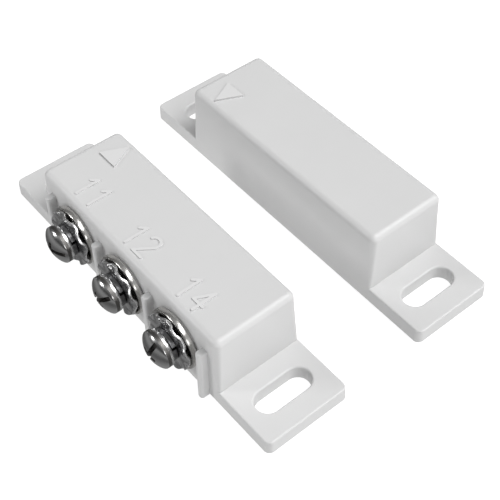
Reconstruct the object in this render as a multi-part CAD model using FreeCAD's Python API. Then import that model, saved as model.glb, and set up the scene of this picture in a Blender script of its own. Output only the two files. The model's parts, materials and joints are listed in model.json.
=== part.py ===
"""Surface-mount door contact: a switch unit with three screw terminals and a matching magnet unit.

Millimetres, +Z up.  The origin is the centre of the switch unit's mounting face.  X runs along both
units, the terminals face -Y, and the magnet unit stands beside the switch unit towards +Y.
"""
import FreeCAD, Part
import math
import os

# ---------------------------------------------------------------- driving dimensions (mm, degrees)

# Housings, the same for both units
UNIT_LENGTH = 65.0          # over the two fixing tabs
UNIT_WIDTH = 14.6
UNIT_HEIGHT = 13.2
BODY_LENGTH = 43.4          # raised body, measured where it meets the tabs
TAB_THICKNESS = 2.5
DRAFT_ANGLE = 1.35          # mould draft of every outside wall
WALL = 1.5
ROOF = 1.5
TOP_EDGE_RADIUS = 1.0
UPRIGHT_EDGE_RADIUS = 0.35  # body corners where they meet the tabs
TAB_CORNER_RADIUS = 1.0
TAB_EDGE_RADIUS = 0.25
SLOT_WIDTH = 3.9
SLOT_LENGTH = 9.4
SLOT_EDGE_RADIUS = 0.35
SLOT_TOWARDS_BODY = 0.2     # slot centre lies this much nearer the body than the tab's middle
UNIT_SPACING = 28.5         # centre to centre, as the two units stand at rest

# Raised marks on the roofs
ARROW_RAISE = 0.3
ARROW_WIDTH = 4.0
ARROW_LENGTH = 4.2
ARROW_FROM_END = 4.9        # body end to the arrow's middle
ARROW_BASE_OFFSET = 1.7     # the unit's centre line to the arrow's base
NUMERAL_RAISE = 0.16
NUMERAL_STROKE = 0.45
NUMERAL_HEIGHT = 4.0
NUMERAL_WIDTH = 2.0
NUMERAL_GAP = 1.1
NUMERAL_CENTRE_Y = -3.6
TERMINAL_NUMBERS = ("11", "12", "14")

# Base covers
COVER_THICKNESS = 1.2
COVER_LEDGE = 0.7
COVER_CLEARANCE = 0.08
COVER_LIP_HEIGHT = 0.7
COVER_LIP_THICKNESS = 0.8
COVER_CORNER_RADIUS = 0.6

# Dividing ribs on the terminal wall
RIB_THICKNESS = 1.15
RIB_REACH = 1.4             # out from the wall
RIB_HEIGHT = 10.0
RIB_END_MARGIN = 2.225      # body end to the first rib
RIB_FRONT_RADIUS = 0.45
RIB_TOP_RADIUS = 0.2

# Terminals
FLANGE_RIB_GAP = 0.825
FLANGE_THICKNESS = 0.9
FLANGE_EDGE_RADIUS = 0.3
SEAT_INSET = 0.3            # the moulded seat is this much smaller in radius than the flange
BUSH_RADIUS = 2.3
BUSH_CLEARANCE = 0.02
BUSH_LENGTH = 3.3
TAIL_RADIUS = 1.95
TAIL_LENGTH = 0.7
INNER_BOSS_RADIUS = 3.6
SCREW_RADIUS = 1.5          # M3
THREAD_CLEARANCE = 0.05
THREAD_PITCH = 0.5
SCREW_LENGTH = 6.0
HEAD_RADIUS = 3.05
HEAD_RIM = 1.1
HEAD_HEIGHT = 2.4
HEAD_EDGE_RADIUS = 0.25
DRIVE_SLOT_WIDTH = 0.8
DRIVE_SLOT_DEPTH = 0.9
DRIVE_CROSS_WIDTH = 0.85
DRIVE_CROSS_SPAN = 3.4
DRIVE_CROSS_DEPTH = 1.5
DRIVE_TURNS = (172.0, 142.0, 109.0)   # how far each screw's slot is turned at rest
WASHER_CLEARANCE = 0.12
WAVE_INSET = 0.35           # flange edge to the wave washer's edge
WAVE_THICKNESS = 0.45
WAVE_HUB_WIDTH = 1.15       # flat ring round the hole
WAVES = 8
WAVE_HALF_RISE = 0.26       # crest above, and trough below, the middle of the rim
WAVE_PHASES = (40.0, 26.0, 21.0)   # where a crest stands on each terminal, up from +X
WAVE_STATIONS = 6           # sections worked out per wave
WAVE_GAP = 0.04             # troughs to the flange
SPRING_THICKNESS = 0.88
SPRING_WIDTH = 1.0
SPRING_SPLIT = 0.5
SPRING_SPLIT_PLACE = 60.0
SPRING_SPLIT_SLANT = 20.0
HEAD_GAP = 0.02
TAG_THICKNESS = 0.4
TAG_RADIUS = 2.7
TAG_WIDTH = 1.8
TAG_ROOF_GAP = 0.5          # the tag's end to the roof's inside
TAG_CLEARANCE = 0.03

# Reed switch and its cradle
CAPSULE_RADIUS = 1.4
CAPSULE_BORE = 1.05
CAPSULE_LENGTH = 17.0
CAPSULE_SEAL = 1.8          # solid glass at each end
CAPSULE_HEIGHT = 5.5        # axis above the mounting face
BLADE_THICKNESS = 0.2
BLADE_WIDTH = 0.9
BLADE_REACH = 11.0
CONTACT_WIDTH = 0.8
CONTACT_OVERLAP = 2.0
CONTACT_GAP = 0.27
CLOSED_GAP = 0.02
LEAD_PROJECTION = 2.0       # flat leads past the glass
BLADE_ROOT_GAP = 0.05
CRADLE_LENGTH = 14.0
CRADLE_WIDTH = 4.2
CRADLE_CLEARANCE = 0.05
CRADLE_WALL_GAP = 0.4
WIRE_RADIUS = 0.5
WIRE_BEND = 1.4
WIRE_BELOW_TAG_END = 0.2
WIRE_SHORT_OUT = 1.7        # how far the closed contact's wire runs on past its lead
WIRE_LONG_OUT = 3.6         # the same for the two outer wires
WIRE_TAG_RUN = 2.4          # straight run into each tag

# Magnet and what holds it
MAGNET_LENGTH = 32.0
MAGNET_WIDTH = 6.0
MAGNET_HEIGHT = 6.0
MAGNET_EDGE_CHAMFER = 0.3
SADDLE_LENGTH = 4.0
SADDLE_INSET = 2.5          # magnet end to the saddle's outer face
SADDLE_WALL = 1.2
SADDLE_FLOOR = 0.8
SADDLE_CLEARANCE = 0.05
PAD_LENGTH = 20.0
PAD_WIDTH = 5.0
PAD_CLEARANCE = 0.02

# ---------------------------------------------------------------- sizes that follow from them

SLOPE = math.tan(math.radians(DRAFT_ANGLE))
BODY_BASE_LENGTH = BODY_LENGTH + 2 * TAB_THICKNESS * SLOPE
TERMINAL_PITCH = (BODY_LENGTH - 2 * RIB_END_MARGIN - RIB_THICKNESS) / 3
TERMINAL_HEIGHT = UNIT_HEIGHT / 2
FLANGE_RADIUS = TERMINAL_PITCH / 2 - RIB_THICKNESS / 2 - FLANGE_RIB_GAP
FLANGE_BACK = -UNIT_WIDTH / 2
FLANGE_FRONT = FLANGE_BACK - FLANGE_THICKNESS
BUSH_END = FLANGE_BACK + BUSH_LENGTH
TAIL_END = BUSH_END + TAIL_LENGTH
HOLE_RADIUS = SCREW_RADIUS + THREAD_CLEARANCE
WAVE_RADIUS = FLANGE_RADIUS - WAVE_INSET
WAVE_MIDDLE = FLANGE_FRONT - WAVE_GAP - WAVE_HALF_RISE - WAVE_THICKNESS / 2
SPRING_BACK = WAVE_MIDDLE - WAVE_THICKNESS / 2
SPRING_FRONT = SPRING_BACK - SPRING_THICKNESS
HEAD_BACK = SPRING_FRONT - HEAD_GAP
WASHER_HOLE = SCREW_RADIUS + WASHER_CLEARANCE
SPRING_RADIUS = WASHER_HOLE + SPRING_WIDTH
CAVITY_TOP = UNIT_HEIGHT - ROOF
TAG_TOP = CAVITY_TOP - TAG_ROOF_GAP
CAVITY_INNER_Y = UNIT_WIDTH / 2 - WALL - CAVITY_TOP * SLOPE
REED_Y = CAVITY_INNER_Y - CRADLE_WALL_GAP - CRADLE_WIDTH / 2
BLADE_ROOT_X = -CAPSULE_LENGTH / 2 + CAPSULE_SEAL
LEAD_END_X = CAPSULE_LENGTH / 2 + LEAD_PROJECTION
SLOT_X = (UNIT_LENGTH + BODY_LENGTH) / 4 - SLOT_TOWARDS_BODY

TERMINALS = (("common", -TERMINAL_PITCH), ("closed", 0.0), ("open", TERMINAL_PITCH))
X_AXIS = FreeCAD.Vector(1, 0, 0)
Y_AXIS = FreeCAD.Vector(0, 1, 0)
Z_AXIS = FreeCAD.Vector(0, 0, 1)
OUTWARDS = FreeCAD.Vector(0, -1, 0)

document = FreeCAD.newDocument("door_contact")


def vec(x, y, z):
    return FreeCAD.Vector(x, y, z)


# ---------------------------------------------------------------- shape helpers

def block(x_range, y_range, z_range):
    """A box between two values on each axis."""
    size = [pair[1] - pair[0] for pair in (x_range, y_range, z_range)]
    return Part.makeBox(size[0], size[1], size[2], vec(x_range[0], y_range[0], z_range[0]))


def frustum(length, width, bottom, top, inset=0.0):
    """A drafted block: length and width are the outside sizes at z = 0, before the inset."""
    wires = []
    for z in (bottom, top):
        half_x = length / 2 - z * SLOPE - inset
        half_y = width / 2 - z * SLOPE - inset
        corners = [vec(-half_x, -half_y, z), vec(half_x, -half_y, z), vec(half_x, half_y, z), vec(-half_x, half_y, z)]
        wires.append(Part.makePolygon(corners + [corners[0]]))
    return Part.makeLoft(wires, True, True)


def rounded(shape, radii):
    """Round edges that each have their own start and end radius: radii is (edge number, r1, r2)."""
    base = document.addObject("Part::Feature", "Base")
    base.Shape = shape
    fillet = document.addObject("Part::Fillet", "Fillet")
    fillet.Base = base
    fillet.Edges = radii
    document.recompute()
    return fillet.Shape.Solids[0].copy()


def edge_numbers(shape, chosen):
    """Numbers, from 1, of the edges that a test picks."""
    return [number for number, edge in enumerate(shape.Edges, 1) if chosen(edge)]


def is_upright(edge):
    low, high = edge.BoundBox.ZMin, edge.BoundBox.ZMax
    return high - low > 0.9 * edge.Length and edge.Length > 1.0


def lies_at(edge, z):
    return abs(edge.BoundBox.ZMin - z) < 1e-4 and abs(edge.BoundBox.ZMax - z) < 1e-4


def turned_ring(inner, outer, back, front, x, z):
    """A flat ring about a terminal's axis, from y = back out to y = front."""
    ring = Part.makeCylinder(outer, back - front, vec(x, back, z), OUTWARDS)
    hole = Part.makeCylinder(inner, back - front, vec(x, back, z), OUTWARDS)
    return ring.cut(hole)


def tube_along(points, radius, bend):
    """A round wire through the points, with straight runs joined by tangent arcs."""
    edges = []
    start = points[0]
    for before, corner, after in zip(points, points[1:], points[2:]):
        into = (corner - before).normalize()
        out_of = (after - corner).normalize()
        turn = into.getAngle(out_of)
        shorter = min((corner - before).Length, (after - corner).Length)
        reach = min(bend * math.tan(turn / 2), 0.45 * shorter)
        arc_radius = reach / math.tan(turn / 2)
        arc_start = corner - into * reach
        arc_end = corner + out_of * reach
        inwards = (out_of - into).normalize()
        to_centre = math.hypot(reach, arc_radius)
        arc_middle = corner + inwards * (to_centre - arc_radius)
        edges.append(Part.makeLine(start, arc_start))
        edges.append(Part.Arc(arc_start, arc_middle, arc_end).toShape())
        start = arc_end
    edges.append(Part.makeLine(start, points[-1]))
    path = Part.Wire(edges)
    section = Part.Wire([Part.makeCircle(radius, points[0], points[1] - points[0])])
    return path.makePipeShell([section], True, False)


# ---------------------------------------------------------------- housings

def housing_block():
    """Outside of a unit: drafted body on a tab plate whose sides are flush with it."""
    body = frustum(BODY_BASE_LENGTH, UNIT_WIDTH, 0.0, UNIT_HEIGHT)
    top_edges = edge_numbers(body, lambda edge: lies_at(edge, UNIT_HEIGHT))
    radii = [(number, TOP_EDGE_RADIUS, TOP_EDGE_RADIUS) for number in top_edges]
    for number in edge_numbers(body, is_upright):
        rises = body.Edges[number - 1].Vertexes[0].Z < body.Edges[number - 1].Vertexes[-1].Z
        ends = (UPRIGHT_EDGE_RADIUS, TOP_EDGE_RADIUS)
        radii.append((number,) + (ends if rises else ends[::-1]))
    body = rounded(body, radii)

    plate = frustum(UNIT_LENGTH, UNIT_WIDTH, 0.0, TAB_THICKNESS)
    plate = plate.makeFillet(TAB_CORNER_RADIUS, [edge for edge in plate.Edges if is_upright(edge)])
    plate = plate.makeFillet(TAB_EDGE_RADIUS, [edge for edge in plate.Edges if lies_at(edge, TAB_THICKNESS)])
    return body.fuse(plate).removeSplitter()


def slot_cutter(x):
    """A slot along Y, through a tab."""
    half = SLOT_LENGTH / 2 - SLOT_WIDTH / 2
    shape = block((x - SLOT_WIDTH / 2, x + SLOT_WIDTH / 2), (-half, half), (-1, TAB_THICKNESS + 1))
    for y in (-half, half):
        shape = shape.fuse(Part.makeCylinder(SLOT_WIDTH / 2, TAB_THICKNESS + 2, vec(x, y, -1)))
    return shape.removeSplitter()


def cover_outline(bottom, top, grow):
    """The plate shape of a base cover; grow is added all round."""
    half_x = BODY_BASE_LENGTH / 2 - WALL + COVER_LEDGE + grow
    half_y = UNIT_WIDTH / 2 - WALL + COVER_LEDGE + grow
    plate = block((-half_x, half_x), (-half_y, half_y), (bottom, top))
    return plate.makeFillet(COVER_CORNER_RADIUS, [edge for edge in plate.Edges if abs(edge.Length - (top - bottom)) < 1e-6])


def hollow_housing():
    """The block with its cavity, cover recess and two fixing slots."""
    shape = housing_block()
    for side in (-1, 1):
        shape = shape.cut(slot_cutter(side * SLOT_X))
    rims = [edge for edge in shape.Edges
            if lies_at(edge, TAB_THICKNESS) and abs(abs(edge.BoundBox.Center.x) - SLOT_X) <= SLOT_WIDTH / 2 + 1e-3
            and abs(edge.BoundBox.Center.y) < SLOT_LENGTH / 2 and edge.BoundBox.YLength < UNIT_WIDTH - 2]
    shape = shape.makeFillet(SLOT_EDGE_RADIUS, rims)
    shape = shape.cut(frustum(BODY_BASE_LENGTH, UNIT_WIDTH, COVER_THICKNESS / 2, CAVITY_TOP, WALL))
    return shape.cut(cover_outline(-1.0, COVER_THICKNESS, 0.0))


def arrow(direction):
    """A raised triangle that points at the other unit."""
    x = -BODY_LENGTH / 2 + ARROW_FROM_END
    base_y = direction * ARROW_BASE_OFFSET
    tip_y = base_y + direction * ARROW_LENGTH
    floor = UNIT_HEIGHT - ROOF / 2
    corners = [vec(x - ARROW_WIDTH / 2, base_y, floor), vec(x + ARROW_WIDTH / 2, base_y, floor), vec(x, tip_y, floor)]
    face = Part.Face(Part.makePolygon(corners + [corners[0]]))
    return face.extrude(vec(0, 0, ROOF / 2 + ARROW_RAISE))


def stroke(start, end):
    """One straight raised stroke with round ends; start and end are (x, y)."""
    floor = UNIT_HEIGHT - ROOF / 2
    height = ROOF / 2 + NUMERAL_RAISE
    length = math.hypot(end[0] - start[0], end[1] - start[1])
    bar = Part.makeBox(length, NUMERAL_STROKE, height, vec(0, -NUMERAL_STROKE / 2, 0))
    for x in (0, length):
        bar = bar.fuse(Part.makeCylinder(NUMERAL_STROKE / 2, height, vec(x, 0, 0)))
    bar.rotate(vec(0, 0, 0), Z_AXIS, math.degrees(math.atan2(end[1] - start[1], end[0] - start[0])))
    bar.translate(vec(start[0], start[1], floor))
    return bar


def curl(centre, radius, start_angle, end_angle):
    """A raised arc of a numeral."""
    floor = UNIT_HEIGHT - ROOF / 2
    height = ROOF / 2 + NUMERAL_RAISE
    sweep = end_angle - start_angle
    outer = Part.makeCylinder(radius + NUMERAL_STROKE / 2, height, vec(0, 0, 0), Z_AXIS, sweep)
    inner = Part.makeCylinder(radius - NUMERAL_STROKE / 2, height, vec(0, 0, 0), Z_AXIS, sweep)
    arc = outer.cut(inner)
    arc.rotate(vec(0, 0, 0), Z_AXIS, start_angle)
    arc.translate(vec(centre[0], centre[1], floor))
    return arc


def numeral(figure, x, y):
    """Raised strokes of the figure 1, 2 or 4, with its lower left corner at x, y."""
    w, h = NUMERAL_WIDTH, NUMERAL_HEIGHT
    if figure == "1":
        return [stroke((x + 0.62 * w, y), (x + 0.62 * w, y + h)), stroke((x + 0.62 * w, y + h), (x + 0.2 * w, y + 0.78 * h))]
    if figure == "2":
        bend = w / 2
        joint = (x + bend + bend * math.cos(math.radians(-30)), y + h - bend + bend * math.sin(math.radians(-30)))
        return [curl((x + bend, y + h - bend), bend, -30, 170), stroke(joint, (x, y)), stroke((x, y), (x + w, y))]
    return [stroke((x + 0.7 * w, y), (x + 0.7 * w, y + h)), stroke((x + 0.7 * w, y + h), (x, y + 0.32 * h)),
            stroke((x, y + 0.32 * h), (x + w, y + 0.32 * h))]


def numerals():
    """Terminal numbers on the roof, one beside each terminal."""
    strokes = []
    for (_, x), number in zip(TERMINALS, TERMINAL_NUMBERS):
        span = len(number) * NUMERAL_WIDTH + (len(number) - 1) * NUMERAL_GAP
        for place, figure in enumerate(number):
            left = x - span / 2 + place * (NUMERAL_WIDTH + NUMERAL_GAP)
            strokes += numeral(figure, left, NUMERAL_CENTRE_Y - NUMERAL_HEIGHT / 2)
    return strokes


def rib(x):
    """A divider on the terminal wall, drafted like it, from the mounting face up."""
    root = -UNIT_WIDTH / 2 + WALL / 2
    front = -UNIT_WIDTH / 2 - RIB_REACH
    corners = [vec(x - RIB_THICKNESS / 2, root, 0), vec(x - RIB_THICKNESS / 2, front, 0),
               vec(x - RIB_THICKNESS / 2, front + RIB_HEIGHT * SLOPE, RIB_HEIGHT),
               vec(x - RIB_THICKNESS / 2, root, RIB_HEIGHT)]
    shape = Part.Face(Part.makePolygon(corners + [corners[0]])).extrude(vec(RIB_THICKNESS, 0, 0))
    shape = shape.makeFillet(RIB_FRONT_RADIUS, [edge for edge in shape.Edges
                                                if is_upright(edge) and edge.BoundBox.Center.y < root - 0.1])
    top = [edge for edge in shape.Edges if lies_at(edge, RIB_HEIGHT) and edge.BoundBox.Center.y < root - 1e-3]
    return shape.makeFillet(RIB_TOP_RADIUS, top)


def switch_housing():
    shape = hollow_housing()
    added = [rib((place - 1.5) * TERMINAL_PITCH) for place in range(4)]
    for _, x in TERMINALS:
        added.append(Part.makeCylinder(FLANGE_RADIUS - SEAT_INSET, WALL / 2 + 0.1,
                                       vec(x, FLANGE_BACK + WALL / 2 + 0.1, TERMINAL_HEIGHT), OUTWARDS))
        added.append(Part.makeCylinder(INNER_BOSS_RADIUS, BUSH_LENGTH - WALL / 2,
                                       vec(x, BUSH_END, TERMINAL_HEIGHT), OUTWARDS))
    shape = shape.fuse(added + [arrow(1)] + numerals()).removeSplitter()
    for _, x in TERMINALS:
        shape = shape.cut(Part.makeCylinder(BUSH_RADIUS + BUSH_CLEARANCE, BUSH_LENGTH + 2,
                                            vec(x, BUSH_END + 1, TERMINAL_HEIGHT), OUTWARDS))
    return shape


def magnet_housing():
    return hollow_housing().fuse(arrow(-1)).removeSplitter()


def base_cover():
    """The plate that closes a housing from below, with a lip at each end that locates it in the cavity."""
    plate = cover_outline(0.0, COVER_THICKNESS, -COVER_CLEARANCE)
    top = COVER_THICKNESS + COVER_LIP_HEIGHT
    half_x = BODY_BASE_LENGTH / 2 - WALL - top * SLOPE - COVER_CLEARANCE
    half_y = UNIT_WIDTH / 2 - WALL - top * SLOPE - COVER_CLEARANCE
    inner_x = half_x - COVER_LIP_THICKNESS
    lips = [block(x_range, (-half_y, half_y), (COVER_THICKNESS / 2, top))
            for x_range in ((-half_x, -inner_x), (inner_x, half_x))]
    return plate.fuse(lips).removeSplitter()


# ---------------------------------------------------------------- terminals

def terminal_insert(x):
    """Flanged threaded bush: the round flange the wire is clamped on, and the bush in the wall."""
    z = TERMINAL_HEIGHT
    flange = Part.makeCylinder(FLANGE_RADIUS, FLANGE_THICKNESS, vec(x, FLANGE_BACK, z), OUTWARDS)
    rims = [edge for edge in flange.Edges if isinstance(edge.Curve, Part.Circle)]
    flange = flange.makeFillet(FLANGE_EDGE_RADIUS, rims)
    bush = Part.makeCylinder(BUSH_RADIUS, BUSH_LENGTH, vec(x, BUSH_END, z), OUTWARDS)
    tail = Part.makeCylinder(TAIL_RADIUS, TAIL_LENGTH, vec(x, TAIL_END, z), OUTWARDS)
    hole = Part.makeCylinder(HOLE_RADIUS, TAIL_END - FLANGE_FRONT + 2, vec(x, TAIL_END + 1, z), OUTWARDS)
    return flange.fuse([bush, tail]).cut(hole).removeSplitter()


def solder_tag(x):
    """Brass ring on the bush's tail, with a tongue that stands up for the wire."""
    z = TERMINAL_HEIGHT
    outer = Part.makeCylinder(TAG_RADIUS, TAG_THICKNESS, vec(x, BUSH_END + TAG_THICKNESS, z), OUTWARDS)
    tongue = block((x - TAG_WIDTH / 2, x + TAG_WIDTH / 2), (BUSH_END, BUSH_END + TAG_THICKNESS), (z, TAG_TOP))
    hole = Part.makeCylinder(TAIL_RADIUS + TAG_CLEARANCE, 3 * TAG_THICKNESS, vec(x, BUSH_END + 2 * TAG_THICKNESS, z), OUTWARDS)
    return outer.fuse(tongue).cut(hole).removeSplitter()


def wave_washer(x, phase):
    """Clamping washer: a flat ring round the hole, and a rim pressed into waves."""
    z = TERMINAL_HEIGHT
    back = WAVE_MIDDLE + WAVE_THICKNESS / 2
    front = WAVE_MIDDLE - WAVE_THICKNESS / 2
    hub_radius = WASHER_HOLE + WAVE_HUB_WIDTH
    over = WAVE_RADIUS + WAVE_THICKNESS
    grown = (over - hub_radius) / (WAVE_RADIUS - hub_radius)
    sections = []
    for station in range(WAVES * WAVE_STATIONS):
        lift = -WAVE_HALF_RISE * grown * math.cos(math.radians(station * 360 / WAVE_STATIONS))
        corners = [vec(WASHER_HOLE / 2, back, 0), vec(hub_radius, back, 0), vec(over, back + lift, 0),
                   vec(over, front + lift, 0), vec(hub_radius, front, 0), vec(WASHER_HOLE / 2, front, 0)]
        section = Part.makePolygon(corners + [corners[0]])
        section.rotate(vec(0, 0, 0), Y_AXIS, -phase - station * 360 / (WAVES * WAVE_STATIONS))
        sections.append(section)
    shape = Part.makeLoft(sections, True, True, True)
    shape.translate(vec(x, 0, z))
    reach = 2 * WAVE_HALF_RISE + WAVE_THICKNESS
    return shape.common(turned_ring(WASHER_HOLE, WAVE_RADIUS, WAVE_MIDDLE + reach, WAVE_MIDDLE - reach, x, z))


def spring_washer(x):
    """Split ring under the screw's head, pressed flat."""
    z = TERMINAL_HEIGHT
    shape = turned_ring(WASHER_HOLE, SPRING_RADIUS, SPRING_BACK, SPRING_FRONT, x, z)
    split = block((-SPRING_SPLIT / 2, SPRING_SPLIT / 2), (-1, 1), (0, 2 * SPRING_RADIUS))
    split.rotate(vec(0, 0, 0), Z_AXIS, SPRING_SPLIT_SLANT)
    split.rotate(vec(0, 0, 0), Y_AXIS, SPRING_SPLIT_PLACE)
    split.translate(vec(x, (SPRING_BACK + SPRING_FRONT) / 2, z))
    return shape.cut(split)


def terminal_screw(x, turn):
    """Pan-head screw with a combined slot and cross, its shank drawn at the thread's nominal size."""
    z = TERMINAL_HEIGHT
    crown = Part.Ellipse(vec(HEAD_RADIUS, -HEAD_RIM, 0), vec(0, -HEAD_HEIGHT, 0), vec(0, -HEAD_RIM, 0))
    profile = Part.Wire([
        Part.makeLine(vec(0, 0, 0), vec(HEAD_RADIUS, 0, 0)),
        Part.makeLine(vec(HEAD_RADIUS, 0, 0), vec(HEAD_RADIUS, -HEAD_RIM, 0)),
        Part.Arc(crown, 0, math.pi / 2).toShape(),
        Part.makeLine(vec(0, -HEAD_HEIGHT, 0), vec(0, 0, 0)),
    ])
    head = Part.Face(profile).revolve(vec(0, 0, 0), Y_AXIS, 360)
    head = head.makeFillet(HEAD_EDGE_RADIUS, [edge for edge in head.Edges
                                              if edge.Closed and abs(edge.BoundBox.Center.y) < 1e-3])
    reach = HEAD_RADIUS + 1
    slot = block((-reach, reach), (-HEAD_HEIGHT - 1, DRIVE_SLOT_DEPTH - HEAD_HEIGHT),
                 (-DRIVE_SLOT_WIDTH / 2, DRIVE_SLOT_WIDTH / 2))
    cuts = [slot]
    for along, across in ((DRIVE_CROSS_SPAN, DRIVE_CROSS_WIDTH), (DRIVE_CROSS_WIDTH, DRIVE_CROSS_SPAN)):
        cuts.append(block((-along / 2, along / 2), (-HEAD_HEIGHT - 1, DRIVE_CROSS_DEPTH - HEAD_HEIGHT),
                          (-across / 2, across / 2)))
    head = head.cut(cuts)
    shank = Part.makeCylinder(SCREW_RADIUS, SCREW_LENGTH, vec(0, SCREW_LENGTH, 0), OUTWARDS)
    tip = [edge for edge in shank.Edges if edge.Closed and edge.BoundBox.YMin > SCREW_LENGTH / 2]
    shank = shank.makeChamfer(THREAD_PITCH / 2, tip)
    screw = head.fuse(shank).removeSplitter()
    screw.rotate(vec(0, 0, 0), Y_AXIS, turn)
    screw.translate(vec(x, HEAD_BACK, z))
    return screw


# ---------------------------------------------------------------- reed switch and wiring

def flat_lead(x_range, y, width):
    """A flat reed strip along X; y is its middle."""
    return block(x_range, (y - BLADE_THICKNESS / 2, y + BLADE_THICKNESS / 2),
                 (CAPSULE_HEIGHT - width / 2, CAPSULE_HEIGHT + width / 2))


CLOSED_Y = REED_Y - BLADE_THICKNESS - CLOSED_GAP
OPEN_Y = REED_Y + BLADE_THICKNESS + CONTACT_GAP
CONTACT_START_X = BLADE_ROOT_X + BLADE_REACH - CONTACT_OVERLAP


def reed_leads():
    """The three flat strips that are sealed into the glass, and the blade that bends between them."""
    blade_start = BLADE_ROOT_X + BLADE_ROOT_GAP
    return {
        "reed_common_lead": flat_lead((-LEAD_END_X, BLADE_ROOT_X), REED_Y, BLADE_WIDTH),
        "reed_blade": flat_lead((blade_start, BLADE_ROOT_X + BLADE_REACH), REED_Y, BLADE_WIDTH),
        "reed_closed_contact": flat_lead((CONTACT_START_X, LEAD_END_X), CLOSED_Y, CONTACT_WIDTH),
        "reed_open_contact": flat_lead((CONTACT_START_X, LEAD_END_X), OPEN_Y, CONTACT_WIDTH),
    }


def reed_capsule(leads):
    """Glass tube sealed round its leads at both ends."""
    half = CAPSULE_LENGTH / 2
    shape = Part.makeCylinder(CAPSULE_RADIUS, CAPSULE_LENGTH, vec(-half, REED_Y, CAPSULE_HEIGHT), X_AXIS)
    ends = [edge for edge in shape.Edges if edge.Closed and edge.BoundBox.YLength > CAPSULE_RADIUS]
    shape = shape.makeFillet(CAPSULE_RADIUS / 2, ends)
    bore = Part.makeCylinder(CAPSULE_BORE, CAPSULE_LENGTH - 2 * CAPSULE_SEAL,
                             vec(-half + CAPSULE_SEAL, REED_Y, CAPSULE_HEIGHT), X_AXIS)
    fixed = [leads[name] for name in ("reed_common_lead", "reed_closed_contact", "reed_open_contact")]
    return shape.cut([bore] + fixed)


def reed_cradle():
    """Block on the base cover with a half-round channel for the glass."""
    half = CRADLE_LENGTH / 2
    shape = block((-half, half), (REED_Y - CRADLE_WIDTH / 2, REED_Y + CRADLE_WIDTH / 2), (COVER_THICKNESS, CAPSULE_HEIGHT))
    channel = Part.makeCylinder(CAPSULE_RADIUS + CRADLE_CLEARANCE, CRADLE_LENGTH + 2,
                                vec(-half - 1, REED_Y, CAPSULE_HEIGHT), X_AXIS)
    return shape.cut([channel, base_cover()])


def lead_wires():
    """Insulated wires from the reed's leads to the three solder tags."""
    tag_y = BUSH_END + TAG_THICKNESS
    tag_z = TAG_TOP - WIRE_RADIUS - WIRE_BELOW_TAG_END
    run_y = tag_y + WIRE_TAG_RUN
    middle_y = (REED_Y - CRADLE_WIDTH / 2 + TAIL_END) / 2
    wires = {}
    for name, side, lead_y in (("common", -1, REED_Y), ("open", 1, OPEN_Y + WIRE_RADIUS)):
        tag_x = side * TERMINAL_PITCH
        turn_x = side * (LEAD_END_X + WIRE_LONG_OUT)
        points = [vec(side * LEAD_END_X, lead_y, CAPSULE_HEIGHT), vec(turn_x, lead_y, CAPSULE_HEIGHT),
                  vec(turn_x, run_y + WIRE_BEND, CAPSULE_HEIGHT), vec(tag_x, run_y, tag_z), vec(tag_x, tag_y, tag_z)]
        wires[name] = tube_along(points, WIRE_RADIUS, WIRE_BEND)
    lead_y = CLOSED_Y - WIRE_RADIUS
    turn_x = LEAD_END_X + WIRE_SHORT_OUT
    points = [vec(LEAD_END_X, lead_y, CAPSULE_HEIGHT), vec(turn_x, lead_y, CAPSULE_HEIGHT),
              vec(turn_x, middle_y, CAPSULE_HEIGHT), vec(0, middle_y, CAPSULE_HEIGHT),
              vec(0, middle_y, tag_z), vec(0, tag_y, tag_z)]
    wires["closed"] = tube_along(points, WIRE_RADIUS, WIRE_BEND)
    return wires


# ---------------------------------------------------------------- magnet unit's inside

def bar_magnet():
    bottom = COVER_THICKNESS + SADDLE_FLOOR
    shape = block((-MAGNET_LENGTH / 2, MAGNET_LENGTH / 2), (-MAGNET_WIDTH / 2, MAGNET_WIDTH / 2),
                  (bottom, bottom + MAGNET_HEIGHT))
    return shape.makeChamfer(MAGNET_EDGE_CHAMFER, shape.Edges)


def magnet_saddles():
    """Two U-shaped saddles on the base cover that hold the magnet near its ends."""
    inner_y = MAGNET_WIDTH / 2 + SADDLE_CLEARANCE
    saddles = []
    for side in (-1, 1):
        outer_x = side * (MAGNET_LENGTH / 2 - SADDLE_INSET)
        inner_x = outer_x - side * SADDLE_LENGTH
        x_range = (min(outer_x, inner_x), max(outer_x, inner_x))
        saddle = block(x_range, (-inner_y - SADDLE_WALL, inner_y + SADDLE_WALL),
                       (COVER_THICKNESS, COVER_THICKNESS + SADDLE_FLOOR + MAGNET_HEIGHT / 2))
        channel = block((x_range[0] - 1, x_range[1] + 1), (-inner_y, inner_y),
                        (COVER_THICKNESS + SADDLE_FLOOR, UNIT_HEIGHT))
        saddles.append(saddle.cut(channel))
    return Part.makeCompound(saddles)


def magnet_pad():
    """Foam strip between the magnet and the roof."""
    bottom = COVER_THICKNESS + SADDLE_FLOOR + MAGNET_HEIGHT + PAD_CLEARANCE
    return block((-PAD_LENGTH / 2, PAD_LENGTH / 2), (-PAD_WIDTH / 2, PAD_WIDTH / 2), (bottom, CAVITY_TOP))


# ---------------------------------------------------------------- the whole set

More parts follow.
